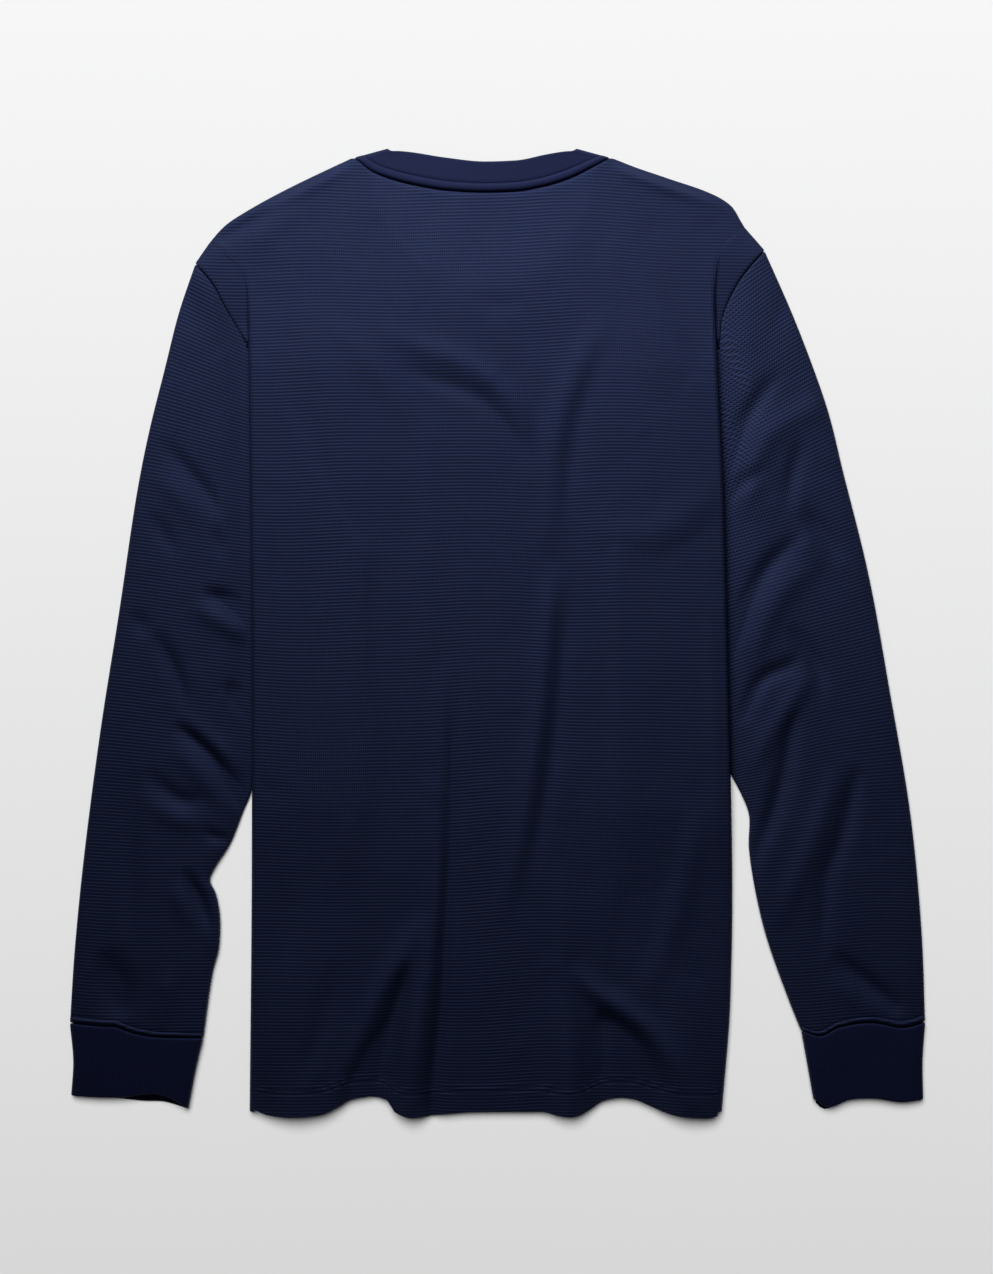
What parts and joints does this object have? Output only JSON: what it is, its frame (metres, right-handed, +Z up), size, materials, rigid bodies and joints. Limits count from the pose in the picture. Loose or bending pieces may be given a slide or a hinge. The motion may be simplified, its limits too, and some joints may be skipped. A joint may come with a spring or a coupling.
{
  "type": "long-sleeved thermal top laid flat",
  "caption": "Waffle-knit crew-neck thermal top with long sleeves, rib cuffs and neckband, laid flat with its back up and its sides tucked under.",
  "frame": {"origin": "on the surface that the top lies on, under the middle of its outline", "axes": "+Z up from the surface, +Y from the hem to the neck, +X to the right as seen from above, the wearer's right"},
  "size_m": [0.662, 0.7499, 0.0131],
  "materials": {
    "waffle_knit": "matt navy cotton waffle knit",
    "rib_knit": "matt dark navy fine cotton rib"
  },
  "bodies": {
    "root": {"back_panel": "waffle_knit", "front_panel": "waffle_knit", "sleeve_left": "waffle_knit", "sleeve_right": "waffle_knit", "cuff_left": "rib_knit", "cuff_right": "rib_knit", "neckband": "rib_knit"}
  },
  "joints": []
}
